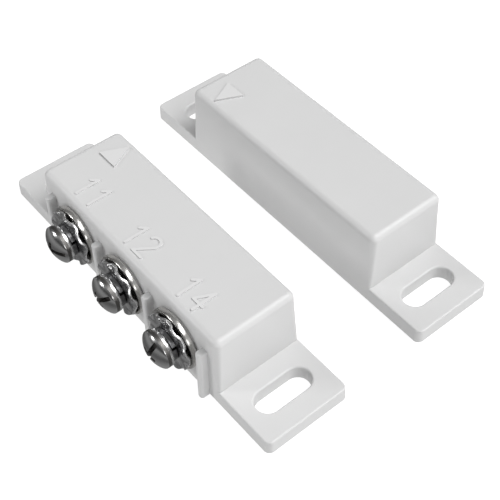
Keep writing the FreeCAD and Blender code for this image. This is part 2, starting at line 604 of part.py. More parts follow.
def build_nodes():
    nodes = {"switch_housing": switch_housing(), "switch_base_cover": base_cover(), "reed_cradle": reed_cradle()}
    leads = reed_leads()
    nodes.update(leads)
    nodes["reed_capsule"] = reed_capsule(leads)
    wires = lead_wires()
    for (name, x), turn, phase in zip(TERMINALS, DRIVE_TURNS, WAVE_PHASES):
        nodes[name + "_terminal_insert"] = terminal_insert(x)
        nodes[name + "_solder_tag"] = solder_tag(x)
        nodes[name + "_lead_wire"] = wires[name]
        nodes[name + "_wave_washer"] = wave_washer(x, phase)
        nodes[name + "_spring_washer"] = spring_washer(x)
        nodes[name + "_terminal_screw"] = terminal_screw(x, turn)
    magnet_nodes = {"magnet_housing": magnet_housing(), "magnet_base_cover": base_cover(),
                    "bar_magnet": bar_magnet(), "magnet_saddles": magnet_saddles(), "magnet_pad": magnet_pad()}
    for name, shape in magnet_nodes.items():
        shape.translate(vec(0, UNIT_SPACING, 0))
        nodes[name] = shape
    return nodes


os.makedirs("parts", exist_ok=True)
for node_name, node_shape in build_nodes().items():
    solids = node_shape.Solids
    kept = solids[0] if len(solids) == 1 else Part.makeCompound(solids)
    kept.exportStep(os.path.join("parts", node_name + ".step"))
    print(node_name, len(solids), "solids", round(kept.Volume, 3), "mm3", "valid" if kept.isValid() else "NOT VALID")
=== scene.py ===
import json
import math

import bmesh
import bpy
from mathutils import Matrix, Vector


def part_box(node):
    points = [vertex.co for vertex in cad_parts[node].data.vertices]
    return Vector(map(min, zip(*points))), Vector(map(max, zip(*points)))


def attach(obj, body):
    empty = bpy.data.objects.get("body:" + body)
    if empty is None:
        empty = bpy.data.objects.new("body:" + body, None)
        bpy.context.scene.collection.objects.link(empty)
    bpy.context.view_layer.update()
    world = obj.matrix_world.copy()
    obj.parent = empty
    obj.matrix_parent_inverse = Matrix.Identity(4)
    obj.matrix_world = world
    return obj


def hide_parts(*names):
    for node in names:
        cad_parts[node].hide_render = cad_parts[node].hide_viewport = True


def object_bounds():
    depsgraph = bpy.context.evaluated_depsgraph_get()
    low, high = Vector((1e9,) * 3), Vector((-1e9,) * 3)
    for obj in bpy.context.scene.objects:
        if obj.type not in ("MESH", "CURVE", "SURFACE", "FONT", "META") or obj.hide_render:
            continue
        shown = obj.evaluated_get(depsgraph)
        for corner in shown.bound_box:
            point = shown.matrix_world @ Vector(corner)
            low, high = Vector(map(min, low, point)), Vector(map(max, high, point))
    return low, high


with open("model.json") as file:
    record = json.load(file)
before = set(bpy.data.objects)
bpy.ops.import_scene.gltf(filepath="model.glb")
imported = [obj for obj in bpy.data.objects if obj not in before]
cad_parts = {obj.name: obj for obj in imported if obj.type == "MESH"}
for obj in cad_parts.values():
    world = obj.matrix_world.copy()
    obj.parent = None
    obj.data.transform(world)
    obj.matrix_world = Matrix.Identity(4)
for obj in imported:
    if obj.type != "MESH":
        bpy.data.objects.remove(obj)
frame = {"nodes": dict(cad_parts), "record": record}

cad_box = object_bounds()

MM = 0.001
nodes = frame["nodes"]
scene = bpy.context.scene

# ---------------------------------------------------------------- places read from the frame

TERMINALS = ("common", "closed", "open")


def middle(node):
    """Centre of a CAD node's box."""
    low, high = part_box(node)
    return (Vector(low) + Vector(high)) / 2


def radius_of(node):
    """Outer radius of a round CAD node whose axis runs along Y."""
    low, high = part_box(node)
    return (high[0] - low[0]) / 2


TERMINAL_PITCH = middle("closed_terminal_screw").x - middle("common_terminal_screw").x
TERMINAL_HEIGHT = middle("common_terminal_insert").z
SUBJECT = (Vector(cad_box[0]) + Vector(cad_box[1])) / 2

# ---------------------------------------------------------------- camera

SENSOR_WIDTH = 36.0                 # millimetres, as the camera takes them
FOCAL_LENGTH = 75.92
SIDE_SHIFT = -0.08                  # share of the picture's width
CAMERA_PLACE = Vector((88.76, -51.87, 126.61)) * MM
CAMERA_LOOK = Vector((-0.494, 0.4234, -0.7594)).normalized()
CAMERA_UP = Vector((-0.5793, 0.491, 0.6506))


def product_camera():
    """Camera off the right end, above the terminal side, looking down."""
    data = bpy.data.cameras.new("product_camera")
    data.sensor_width = SENSOR_WIDTH
    data.lens = FOCAL_LENGTH
    data.shift_x = SIDE_SHIFT
    camera = bpy.data.objects.new("product_camera", data)
    scene.collection.objects.link(camera)
    right = CAMERA_LOOK.cross(CAMERA_UP).normalized()
    turned = Matrix((right, right.cross(CAMERA_LOOK), -CAMERA_LOOK)).transposed()
    camera.matrix_world = Matrix.Translation(CAMERA_PLACE) @ turned.to_4x4()
    return camera


scene.camera = product_camera()

# ---------------------------------------------------------------- node helpers


def add_node(tree, kind, inputs=None, **settings):
    """A shader node with its settings and its input values or links."""
    node = tree.nodes.new(kind)
    for name, value in settings.items():
        setattr(node, name, value)
    for name, value in (inputs or {}).items():
        if isinstance(value, bpy.types.NodeSocket):
            tree.links.new(value, node.inputs[name])
        else:
            node.inputs[name].default_value = value
    return node


def object_place(tree):
    """Place on the piece, in metres."""
    return tree.nodes.new("ShaderNodeTexCoord").outputs["Object"]


def maths(tree, operation, *values):
    """One Math node; values are numbers or sockets."""
    return add_node(tree, "ShaderNodeMath", dict(enumerate(values)), operation=operation).outputs[0]


def weighted(tree, first, first_weight, second, second_weight):
    """Sum of two values, each times its weight."""
    return maths(tree, "ADD", maths(tree, "MULTIPLY", first, first_weight),
                 maths(tree, "MULTIPLY", second, second_weight))


def spread(tree, value, low, high):
    """Maps 0 to 1 onto low to high."""
    return add_node(tree, "ShaderNodeMapRange", {"Value": value, "To Min": low,
                                                 "To Max": high}).outputs["Result"]


def swing(tree, pattern, amount):
    """Goes from 1 - amount to 1 + amount as the pattern goes from 0 to 1."""
    centred = maths(tree, "MULTIPLY", maths(tree, "SUBTRACT", pattern, 0.5), amount)
    return maths(tree, "ADD", maths(tree, "MULTIPLY", centred, 2.0), 1.0)


def noise(tree, place, scale, detail=3.0, roughness=0.55):
    """Cloudy pattern from 0 to 1; scale is in repeats per metre."""
    return add_node(tree, "ShaderNodeTexNoise", {"Vector": place, "Scale": scale, "Detail": detail,
                                                 "Roughness": roughness}).outputs["Fac"]


def stretched(tree, place, scale, rotation=(0.0, 0.0, 0.0)):
    """A place turned and scaled, so that a pattern on it is drawn out."""
    return add_node(tree, "ShaderNodeMapping", {"Vector": place, "Rotation": rotation,
                                                "Scale": scale}).outputs["Vector"]


def tint(tree, colour, amount):
    """colour made lighter or darker by amount, where 1 leaves it alone."""
    return add_node(tree, "ShaderNodeVectorMath", {0: colour, "Scale": amount}, operation="SCALE").outputs[0]


def relief(tree, height, strength, under=None):
    """Normal of a relief whose height is in metres, over another normal if there is one."""
    inputs = {"Strength": strength, "Distance": 1.0, "Height": height}
    if under is not None:
        inputs["Normal"] = under
    return add_node(tree, "ShaderNodeBump", inputs).outputs["Normal"]


def effect_group(name, inputs, outputs):
    """An empty shader node group with named sockets."""
    group = bpy.data.node_groups.new(name, "ShaderNodeTree")
    kinds = {"colour": "NodeSocketColor", "value": "NodeSocketFloat", "normal": "NodeSocketVector"}
    for socket, kind, default in inputs:
        item = group.interface.new_socket(name=socket, in_out="INPUT", socket_type=kinds[kind])
        item.default_value = default
    for socket, kind in outputs:
        group.interface.new_socket(name=socket, in_out="OUTPUT", socket_type=kinds[kind])
    return group, group.nodes.new("NodeGroupInput").outputs, group.nodes.new("NodeGroupOutput").inputs


# ---------------------------------------------------------------- shared effects

SURFACE = [("Colour", "colour"), ("Roughness", "value"), ("Normal", "normal")]
PLAIN_GREY = (0.6, 0.6, 0.6, 1)

FLOW = (70.0, 2.0)                  # patterns: repeats per metre, detail and then roughness
SMEAR = (260.0, 4.0, 0.6)
SINK = (180.0, 1.0)
GRAIN = (2.0, 0.5)                  # detail and roughness; its size is the material's own
FLOW_SHARE = 0.7                    # of the shading; the rest is smears
GRAIN_HEIGHT = 0.012 * MM
SINK_HEIGHT = 0.05 * MM
RUBBED = 0.08                       # change of roughness where a moulding is handled


def moulded_skin():
    """Injection-moulded surface: flow shading, spark-eroded grain, handling, and a painted highlight on
    raised marks.
    """
    group, given, gives = effect_group(
        "moulded_skin",
        [("Colour", "colour", PLAIN_GREY), ("Flow", "value", 0.03), ("Grain Size", "value", 3000.0),
         ("Grain Depth", "value", 0.15), ("Gloss", "value", 0.42), ("Mark Height", "value", 1.0),
         ("Mark Painted Highlight", "value", 0.0)], SURFACE)
    place = object_place(group)
    flow = noise(group, place, *FLOW)
    smear = noise(group, place, *SMEAR)
    sink = noise(group, place, *SINK)
    grain = noise(group, place, given["Grain Size"], *GRAIN)
    level = add_node(group, "ShaderNodeSeparateXYZ", {"Vector": place}).outputs["Z"]
    # raised marks are painted paler: a painted highlight where their tops catch the light
    raised = maths(group, "GREATER_THAN", level, given["Mark Height"])
    mark_painted_highlight = maths(group, "MULTIPLY", raised, given["Mark Painted Highlight"])
    mottled = weighted(group, flow, FLOW_SHARE, smear, 1 - FLOW_SHARE)
    shade = maths(group, "ADD", swing(group, mottled, given["Flow"]), mark_painted_highlight)
    group.links.new(tint(group, given["Colour"], shade), gives["Colour"])
    rubbed = spread(group, smear, -RUBBED, RUBBED)
    group.links.new(maths(group, "ADD", given["Gloss"], rubbed), gives["Roughness"])
    height = weighted(group, grain, GRAIN_HEIGHT, sink, SINK_HEIGHT)
    group.links.new(relief(group, height, given["Grain Depth"]), gives["Normal"])
    return group


CLOUD = (900.0, 4.0, 0.6)
SCRATCH = (3.0, 0.7)                # detail and roughness; its size is the material's own
SCRATCH_TURN = (0.6, 0.3, 0.8)
SCRATCH_STRETCH = (1.0, 0.08, 0.5)
SCRATCH_HEIGHT = 0.01 * MM
CLOUD_HEIGHT = 0.02 * MM
CLOUD_DULLS = 0.12                  # roughness that cloudy plating adds
SCRATCH_DULLS = 0.1                 # roughness that scratches add


def plated_metal():
    """Barrel-plated metal: cloudy plating, fine tumbling scratches and small dents."""
    group, given, gives = effect_group(
        "plated_metal",
        [("Colour", "colour", PLAIN_GREY), ("Cloud", "value", 0.1), ("Scratch Size", "value", 4000.0),
         ("Scratch Depth", "value", 0.2), ("Gloss", "value", 0.22)], SURFACE)
    place = object_place(group)
    cloud = noise(group, place, *CLOUD)
    brushed = stretched(group, place, SCRATCH_STRETCH, SCRATCH_TURN)
    scratch = noise(group, brushed, given["Scratch Size"], *SCRATCH)
    group.links.new(tint(group, given["Colour"], swing(group, cloud, given["Cloud"])), gives["Colour"])
    dull = maths(group, "SUBTRACT", weighted(group, cloud, CLOUD_DULLS, scratch, SCRATCH_DULLS),
                 (CLOUD_DULLS + SCRATCH_DULLS) / 2)
    group.links.new(maths(group, "ADD", given["Gloss"], dull), gives["Roughness"])
    height = weighted(group, scratch, SCRATCH_HEIGHT, cloud, CLOUD_HEIGHT)
    group.links.new(relief(group, height, given["Scratch Depth"]), gives["Normal"])
    return group


RING_SLANT = 0.6                    # how fast the rings climb round faces along the axis


def turning_lines():
    """Fine rings left by turning, centred on each terminal's axis."""
    group, given, gives = effect_group(
        "turning_lines",
        [("Ring Pitch", "value", 0.12 * MM), ("Terminal Pitch", "value", 12.6 * MM),
         ("Axis Height", "value", 6.6 * MM)],
        [("Rings", "value")])
    place = add_node(group, "ShaderNodeSeparateXYZ", {"Vector": object_place(group)}).outputs
    half = maths(group, "MULTIPLY", given["Terminal Pitch"], 0.5)
    across = maths(group, "WRAP", place["X"], half, maths(group, "MULTIPLY", half, -1.0))
    upwards = maths(group, "SUBTRACT", place["Z"], given["Axis Height"])
    reach = maths(group, "SQRT", weighted(group, across, across, upwards, upwards))
    along = maths(group, "MULTIPLY", place["Y"], RING_SLANT)
    turns = maths(group, "DIVIDE", maths(group, "ADD", reach, along), given["Ring Pitch"])
    wave = maths(group, "SINE", maths(group, "MULTIPLY", turns, 2 * math.pi))
    group.links.new(maths(group, "MULTIPLY", maths(group, "ADD", wave, 1.0), 0.5), gives["Rings"])
    return group


GROUPS = {"moulded_skin": moulded_skin(), "plated_metal": plated_metal(), "turning_lines": turning_lines()}

# ---------------------------------------------------------------- materials

MARK_BAND = 0.2 * MM                # top of a housing that is raised marks only
# how much paler the raised marks are painted: a painted highlight
MARK_PAINTED_HIGHLIGHT = 0.07                    # how much paler they are
RAISED_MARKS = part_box("switch_housing")[1][2] - MARK_BAND
NO_MARKS = 1.0                      # a height that no moulding reaches

RING_PITCH = 0.16 * MM
RING_HEIGHT = 0.004 * MM
RING_STRENGTH = 0.5
DRAWN_OUT = (0.1, 1.0, 1.0)         # ripples run along the tube
RIPPLE = (1500.0, 2.0)
RIPPLE_HEIGHT = 0.01 * MM
RIPPLE_STRENGTH = 0.2
FOAM_CELLS = 1800.0                 # per metre
FOAM_BLACK = (0.05, 0.05, 0.055)
FOAM_DEPTH = 0.2 * MM
FOAM_STRENGTH = 0.8


def new_material(name, **plain):
    """A material with one Principled shader; plain holds its constant socket values."""
    material = bpy.data.materials.new(name)
    material.use_nodes = True
    shader = material.node_tree.nodes["Principled BSDF"]
    for socket, value in plain.items():
        shader.inputs[socket.replace("_", " ")].default_value = value
    return material, material.node_tree, shader


def place_group(tree, name, inputs):
    """Outputs of a shared effect placed in a material."""
    return add_node(tree, "ShaderNodeGroup", inputs, node_tree=GROUPS[name]).outputs


def feed(tree, shader, outputs):
    """Links a surface effect to its shader."""
    tree.links.new(outputs["Colour"], shader.inputs["Base Color"])
    tree.links.new(outputs["Roughness"], shader.inputs["Roughness"])
    tree.links.new(outputs["Normal"], shader.inputs["Normal"])


def moulded_plastic(name, colour, flow=0.03, gloss=0.42, grain=3000.0, depth=0.3, marks=NO_MARKS):
    """Opaque moulded plastic; above the height called marks it is painted a little paler, as a highlight."""
    material, tree, shader = new_material(name, IOR=1.53, Specular_IOR_Level=0.45)
    feed(tree, shader, place_group(tree, "moulded_skin", {
        "Colour": colour + (1,), "Flow": flow, "Grain Size": grain, "Grain Depth": depth, "Gloss": gloss,
        "Mark Height": marks, "Mark Painted Highlight": MARK_PAINTED_HIGHLIGHT}))
    return material


def bare_metal(name, colour, cloud=0.1, gloss=0.25, scratch=4000.0, depth=0.25):
    """Unpainted metal with a plated or tumbled surface."""
    material, tree, shader = new_material(name, Metallic=1.0)
    feed(tree, shader, place_group(tree, "plated_metal", {
        "Colour": colour + (1,), "Cloud": cloud, "Scratch Size": scratch, "Scratch Depth": depth,
        "Gloss": gloss}))
    return material


def turned_nickel():
    """Plated and turned terminal metal with ring marks over the plating."""
    material, tree, shader = new_material("turned_nickel", Metallic=1.0)
    plating = place_group(tree, "plated_metal", {"Colour": (0.60, 0.59, 0.57, 1), "Cloud": 0.08,
                                                 "Scratch Size": 5000.0, "Scratch Depth": 0.2, "Gloss": 0.24})
    feed(tree, shader, plating)
    rings = place_group(tree, "turning_lines", {"Ring Pitch": RING_PITCH, "Terminal Pitch": TERMINAL_PITCH,
                                                "Axis Height": TERMINAL_HEIGHT})["Rings"]
    height = maths(tree, "MULTIPLY", rings, RING_HEIGHT)
    tree.links.new(relief(tree, height, RING_STRENGTH, plating["Normal"]), shader.inputs["Normal"])
    return material


def sealed_glass():
    """Slightly green reed glass; faint drawn ripples along the tube."""
    material, tree, shader = new_material("sealed_glass", Metallic=0.0, Transmission_Weight=1.0, IOR=1.5,
                                          Base_Color=(0.78, 0.92, 0.84, 1))
    ripple = noise(tree, stretched(tree, object_place(tree), DRAWN_OUT), *RIPPLE)
    tree.links.new(spread(tree, ripple, 0.02, 0.07), shader.inputs["Roughness"])
    height = maths(tree, "MULTIPLY", ripple, RIPPLE_HEIGHT)
    tree.links.new(relief(tree, height, RIPPLE_STRENGTH), shader.inputs["Normal"])
    return material


def open_foam():
    """Dark open-cell foam."""
    material, tree, shader = new_material("open_foam", Specular_IOR_Level=0.2)
    cells = add_node(tree, "ShaderNodeTexVoronoi", {"Vector": object_place(tree),
                                                    "Scale": FOAM_CELLS}).outputs["Distance"]
    # darker towards the middle of each cell, where the relief sinks into pits: painted shade in the cell
    # hollows
    shade = spread(tree, cells, 0.35, 1.1)
    tree.links.new(tint(tree, FOAM_BLACK, shade), shader.inputs["Base Color"])
    tree.links.new(spread(tree, cells, 0.95, 0.8), shader.inputs["Roughness"])
    height = maths(tree, "MULTIPLY", cells, FOAM_DEPTH)
    tree.links.new(relief(tree, height, FOAM_STRENGTH), shader.inputs["Normal"])
    return material


FINISHES = {
    "white_plastic": moulded_plastic("white_abs", (0.625, 0.625, 0.625), marks=RAISED_MARKS),
    "cover_plastic": moulded_plastic("cover_abs", (0.60, 0.60, 0.59), flow=0.04, gloss=0.46, depth=0.4),
    "cradle_plastic": moulded_plastic("cradle_nylon", (0.045, 0.045, 0.05), flow=0.08, gloss=0.5, depth=0.4),
    "reed_glass": sealed_glass(),
    "reed_metal": bare_metal("reed_alloy", (0.52, 0.50, 0.46), cloud=0.12, gloss=0.3),
    "nickel": turned_nickel(),
    "screw_nickel": bare_metal("screw_nickel", (0.57, 0.57, 0.57), cloud=0.12, gloss=0.22),
    # darker metal for the driver recess: painted shade in the recess
    "recess_painted_shade": bare_metal("recess_painted_shade", (0.16, 0.155, 0.15), cloud=0.3, gloss=0.42, depth=0.6),
    "bright_zinc": bare_metal("bright_zinc", (0.64, 0.64, 0.645), cloud=0.12, gloss=0.27),
    "spring_steel": bare_metal("spring_steel", (0.20, 0.20, 0.205), cloud=0.25, gloss=0.38, depth=0.5),
    "brass": bare_metal("tag_brass", (0.72, 0.52, 0.24), cloud=0.16, gloss=0.3),
    "wire_insulation": moulded_plastic("wire_insulation", (0.42, 0.05, 0.04), flow=0.08, gloss=0.4,
                                       grain=6000.0),
    "magnet_metal": bare_metal("magnet_alloy", (0.30, 0.29, 0.28), cloud=0.25, gloss=0.42, depth=0.6),
    "foam": open_foam(),
}

for part in frame["record"]["subparts"]:
    nodes[part["node"]].material_slots[0].material = FINISHES[part["material_slot"]]

# ---------------------------------------------------------------- mesh helpers

TO_TERMINAL = Matrix.Rotation(math.radians(90), 4, "X")     # local +Z points out of the terminal wall
WELD = 0.0001 * MM                  # points closer than this are one
SLIVER = 0.0002 * MM                # edges shorter than this are merged away
SMOOTH_ANGLE = 35.0                 # degrees; faces that meet at more than this stay crisp
CREASE = 40.0                       # degrees; edges sharper than this are rounded


def spun(outline, steps, rise=0.0, turn=360.0):
    """A bmesh turned about local Z from (radius, height) pairs."""
    bm = bmesh.new()
    points = [bm.verts.new((radius, 0, height)) for radius, height in outline]
    edges = [bm.edges.new(pair) for pair in zip(points, points[1:])]
    whole = turn == 360.0 and rise == 0.0
    bmesh.ops.spin(bm, geom=points + edges, cent=(0, 0, 0), axis=(0, 0, 1), dvec=(0, 0, rise / steps),
                   angle=math.radians(turn), steps=steps, use_merge=whole, use_duplicate=False)
    bmesh.ops.remove_doubles(bm, verts=bm.verts, dist=WELD)
    return bm


def slab(low, high):
    """A box between two corners."""
    bm = bmesh.new()
    bmesh.ops.create_cube(bm, size=1.0)
    bmesh.ops.scale(bm, vec=Vector(high) - Vector(low), verts=bm.verts)
    bmesh.ops.translate(bm, vec=(Vector(high) + Vector(low)) / 2, verts=bm.verts)
    return bm


def sharp_edges(bm, angle):
    """Edges between two faces that meet at more than angle degrees."""
    return [edge for edge in bm.edges
            if len(edge.link_faces) == 2 and edge.calc_face_angle(0.0) > math.radians(angle)]


def open_edges(bm):
    """Edges round the holes of a mesh."""
    return [edge for edge in bm.edges if edge.is_boundary]


def soften(bm, edges, width, segments):
    """Round chosen edges."""
    bmesh.ops.bevel(bm, geom=edges, offset=width, offset_type="OFFSET", segments=segments, profile=0.5,
                    affect="EDGES", clamp_overlap=True, material=-1)


def rounded_corner(centre_radius, centre_height, corner, start, steps):
    """Quarter turn of an outline, clockwise from the angle start, as (radius, height) pairs."""
    arc = []
    for step in range(steps + 1):
        lean = math.radians(start - 90 * step / steps)
        arc.append((centre_radius + corner * math.cos(lean), centre_height + corner * math.sin(lean)))
    return arc


def joined(first, second):
    """One bmesh with the faces of both."""
    scrap = bpy.data.meshes.new("joined")
    second.to_mesh(scrap)
    second.free()
    first.from_mesh(scrap)
    bpy.data.meshes.remove(scrap)
    return first


def scratch_object(name, bm):
    """A short-lived object made from a bmesh, which it uses up."""
    holder = bpy.data.objects.new(name, bpy.data.meshes.new(name))
    bm.to_mesh(holder.data)
    bm.free()
    scene.collection.objects.link(holder)
    return holder


def carved(bm, cutters):
    """bm with each cutter taken away from it."""
    solid = scratch_object("blank", bm)
    tools = [scratch_object("cutter", cutter) for cutter in cutters]
    for tool in tools:
        cut = solid.modifiers.new("cut", "BOOLEAN")
        cut.operation = "DIFFERENCE"
        cut.solver = "EXACT"
        cut.object = tool
    result = bmesh.new()
    evaluated = solid.evaluated_get(bpy.context.evaluated_depsgraph_get())
    result.from_mesh(bpy.data.meshes.new_from_object(evaluated))
    for scrap in tools + [solid]:
        bpy.data.objects.remove(scrap)
    return result


def new_piece(name, bm, place, *finishes):
    """A named object from a bmesh, with its place in its mesh."""
    bmesh.ops.transform(bm, matrix=place, verts=bm.verts)
    bmesh.ops.dissolve_degenerate(bm, dist=SLIVER, edges=bm.edges)
    bmesh.ops.recalc_face_normals(bm, faces=bm.faces)
    mesh = bpy.data.meshes.new(name)
    bm.to_mesh(mesh)
    bm.free()
    mesh.shade_smooth()
    mesh.set_sharp_from_angle(angle=math.radians(SMOOTH_ANGLE))
    for finish in finishes:
        mesh.materials.append(FINISHES[finish])
    piece = bpy.data.objects.new(name, mesh)
    scene.collection.objects.link(piece)
    return piece


def stands_for(piece, node, body):
    """Shows the piece in place of a CAD node, on its body."""
    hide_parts(node)
    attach(piece, body)


# ---------------------------------------------------------------- terminal screws

HEAD_RIM = 1.1 * MM
HEAD_HEIGHT = 2.4 * MM
HEAD_EDGE = 0.25 * MM
HEAD_STEPS = 96
DOME_STEPS = 18
RECESS_SKIN = 0.12 * MM             # deeper than this below the dome is recess
RECESS_EDGE = 0.07 * MM
RECESS_WELD = 0.012 * MM            # cut points closer than this are one
SLOT_REACH = 2.6                    # slot cutter's length in head radii: past both sides
SLOT_WIDTH = 0.8 * MM
SLOT_DEPTH = 0.9 * MM
SLOT_TAPER = (1.0, 0.86)            # floor of the slot against its mouth
CROSS_WIDTH = 0.85 * MM
CROSS_SPAN = 3.4 * MM
CROSS_DEPTH = 1.5 * MM
CROSS_TAPER = (0.55, 0.7)           # floor of a cross arm against its mouth, along and across it
SCREW_RADIUS = 1.5 * MM
THREAD_PITCH = 0.5 * MM
THREAD_DEPTH = 0.28 * MM
THREAD_STEPS = 36                   # for each turn
# one turn of the thread, as shares of its pitch and of its depth
THREAD_PROFILE = ((0.0, 0.0), (0.06, 0.0), (0.46, 1.0), (0.6, 1.0), (1.0, 0.0))
SHANK_OVERLAP = 0.1 * MM            # how far the shank runs up into the head
POINT_LENGTH = 0.3 * MM
POINT_SLOPE = 0.9                   # how fast the point widens along its length
DRIVE_TURNS = (172.0, 142.0, 109.0)     # degrees that each slot is turned, by terminal


def wedge(along, across, depth, taper):
    """A driver recess cutter that narrows towards its floor."""
    bm = slab((-along / 2, -across / 2, -depth), (along / 2, across / 2, depth))
    floor = [vert for vert in bm.verts if vert.co.z < 0]
    bmesh.ops.scale(bm, vec=(taper[0], taper[1], 1.0), verts=floor)
    bmesh.ops.translate(bm, vec=(0, 0, HEAD_HEIGHT), verts=bm.verts)
    return bm


def dome_height(share):
    """Height of the head's outside, where a plain elliptical dome would have risen by share (0 to 1)."""
    return HEAD_RIM + (HEAD_HEIGHT - HEAD_RIM) * (0.5 * share + 0.5 * share ** 2)


def pan_head(radius):
    """Domed head with its back on z = 0 and a combined slot and cross recess.

    The recess and the upper half of the rim take the second finish, a darker metal that paints shade into the
    recess.
    """
    # the flat back, its broken edge and the lower half of the rim
    outline = [(0.0, 0.0), (0.6 * SCREW_RADIUS, 0.0), (radius - 0.8 * HEAD_EDGE, 0.0),
               (radius - 0.25 * HEAD_EDGE, 0.25 * HEAD_EDGE), (radius, 0.8 * HEAD_EDGE),
               (radius, 0.5 * HEAD_RIM)]
    for step in range(DOME_STEPS + 1):
        lean = math.radians(90 * step / DOME_STEPS)
        outline.append((radius * math.cos(lean), dome_height(math.sin(lean))))
    head = carved(spun(outline, HEAD_STEPS), [
        wedge(SLOT_REACH * radius, SLOT_WIDTH, SLOT_DEPTH, SLOT_TAPER),
        wedge(CROSS_SPAN, CROSS_WIDTH, CROSS_DEPTH, CROSS_TAPER),
        wedge(CROSS_WIDTH, CROSS_SPAN, CROSS_DEPTH, CROSS_TAPER[::-1])])
    bmesh.ops.remove_doubles(head, verts=head.verts, dist=RECESS_WELD)
    soften(head, sharp_edges(head, CREASE), RECESS_EDGE, 3)
    # faces in the recess, and on the rim's upper half, take the darker second finish: painted shade
    for face in head.faces:
        spot = face.calc_center_median()
        share = min((spot.x ** 2 + spot.y ** 2) / radius ** 2, 1.0)
        if spot.z > 0.5 * HEAD_RIM and dome_height(math.sqrt(1 - share)) - spot.z > RECESS_SKIN:
            face.material_index = 1
    return head


def threaded_shank(length):
    """A right-hand V thread below z = 0, closed at both ends and narrowed to a point."""
    root = SCREW_RADIUS - THREAD_DEPTH
    turns = int(length / THREAD_PITCH) + 2
    outline = [(SCREW_RADIUS - depth * THREAD_DEPTH, along * THREAD_PITCH) for along, depth in THREAD_PROFILE]
    thread = spun(outline, THREAD_STEPS * turns, rise=THREAD_PITCH * turns, turn=360.0 * turns)
    bmesh.ops.translate(thread, vec=(0, 0, -THREAD_PITCH * (turns - 0.5)), verts=thread.verts)
    for height, outwards in ((SHANK_OVERLAP, 1), (-length, -1)):
        bmesh.ops.bisect_plane(thread, geom=thread.verts[:] + thread.edges[:] + thread.faces[:], dist=1e-9,
                               plane_co=(0, 0, height), plane_no=(0, 0, outwards), clear_outer=True)
    bmesh.ops.holes_fill(thread, edges=open_edges(thread), sides=0)
    for vert in thread.verts:
        above = vert.co.z + length
        reach = math.hypot(vert.co.x, vert.co.y)
        limit = root + POINT_SLOPE * above
        if above < POINT_LENGTH and reach > limit:
            vert.co.x *= limit / reach
            vert.co.y *= limit / reach
    return thread


def terminal_screw(name, turn):
    """Pan-head screw that turns on its own body."""
    node = name + "_terminal_screw"
    low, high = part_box(node)
    centre = middle(node)
    screw = joined(pan_head(radius_of(node)), threaded_shank(high[1] - low[1] - HEAD_HEIGHT))
    drive = Matrix.Rotation(math.radians(-turn), 4, "Z")
    place = Matrix.Translation((centre.x, low[1] + HEAD_HEIGHT, centre.z)) @ TO_TERMINAL @ drive
    piece = new_piece(name + "_pan_head_screw", screw, place, "screw_nickel", "recess_painted_shade")
    stands_for(piece, node, name + "_screw")


# ---------------------------------------------------------------- flanged bushes

FLANGE_THICKNESS = 0.9 * MM
FLANGE_EDGE = 0.16 * MM
FLANGE_EDGE_STEPS = 4
BUSH_RADIUS = 2.3 * MM
BUSH_LENGTH = 3.3 * MM
TAIL_RADIUS = 1.95 * MM
BORE_RADIUS = 1.55 * MM
BORE_MOUTH = 0.2 * MM
BUSH_STEPS = 128


def flanged_bush(name):
    """Turned insert: a flange with broken edges, the bush in the wall and the tail that carries the tag."""
    node = name + "_terminal_insert"
    low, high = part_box(node)
    centre = middle(node)
    edge_centre = radius_of(node) - FLANGE_EDGE
    shoulder = -FLANGE_THICKNESS - BUSH_LENGTH
    end = low[1] - high[1]
    outline = [(BORE_RADIUS + BORE_MOUTH, 0.0), (edge_centre, 0.0)]
    for height, start in ((-FLANGE_EDGE, 90), (FLANGE_EDGE - FLANGE_THICKNESS, 0)):
        outline += rounded_corner(edge_centre, height, FLANGE_EDGE, start, FLANGE_EDGE_STEPS)
    outline += [(BUSH_RADIUS, -FLANGE_THICKNESS), (BUSH_RADIUS, shoulder), (TAIL_RADIUS, shoulder),
                (TAIL_RADIUS, end), (BORE_RADIUS + BORE_MOUTH, end), (BORE_RADIUS, end + BORE_MOUTH),
                (BORE_RADIUS, -BORE_MOUTH)]
    bush = spun(outline + outline[:1], BUSH_STEPS)
    place = Matrix.Translation((centre.x, low[1], centre.z)) @ TO_TERMINAL
    stands_for(new_piece(name + "_flanged_bush", bush, place, "nickel"), node, "switch_unit")


# ---------------------------------------------------------------- washers

WASHER_HOLE = 1.62 * MM

WAVE_HUB = 2.77 * MM                # flat out to this radius
WAVE_THICKNESS = 0.45 * MM
WAVE_EDGE = 0.09 * MM
WAVE_CREASE = 50.0                  # degrees; the folds themselves stay unrounded
WAVES = 8
WAVE_STEPS = 18                     # round each wave
WAVE_RINGS = 6                      # from the hub to the rim
WAVE_SWELL = 1.2                    # power by which the waves grow towards the rim
WAVE_PHASES = (40.0, 26.0, 21.0)    # degrees to a crest, by terminal

SPRING_CORNER = 0.1 * MM
SPRING_STEPS = 80
SPLIT_LIFT = 0.12                   # offset of the sheared ends, as a share of the washer's height
SPLIT_GAP = 10.0                    # degrees
SPLIT_PLACE = 30.0                  # degrees to the middle of the gap


def wave_height(spot, rim, half_rise, phase):
    """Height of the pressed waves at a place on the blank."""
    out = (spot.length - WAVE_HUB) / (rim - WAVE_HUB)
    if out <= 0:
        return spot.z
    fold = math.cos(math.radians(WAVES * (math.degrees(math.atan2(spot.y, spot.x)) - phase)))
    return half_rise * fold * (2 - abs(fold)) * out ** WAVE_SWELL


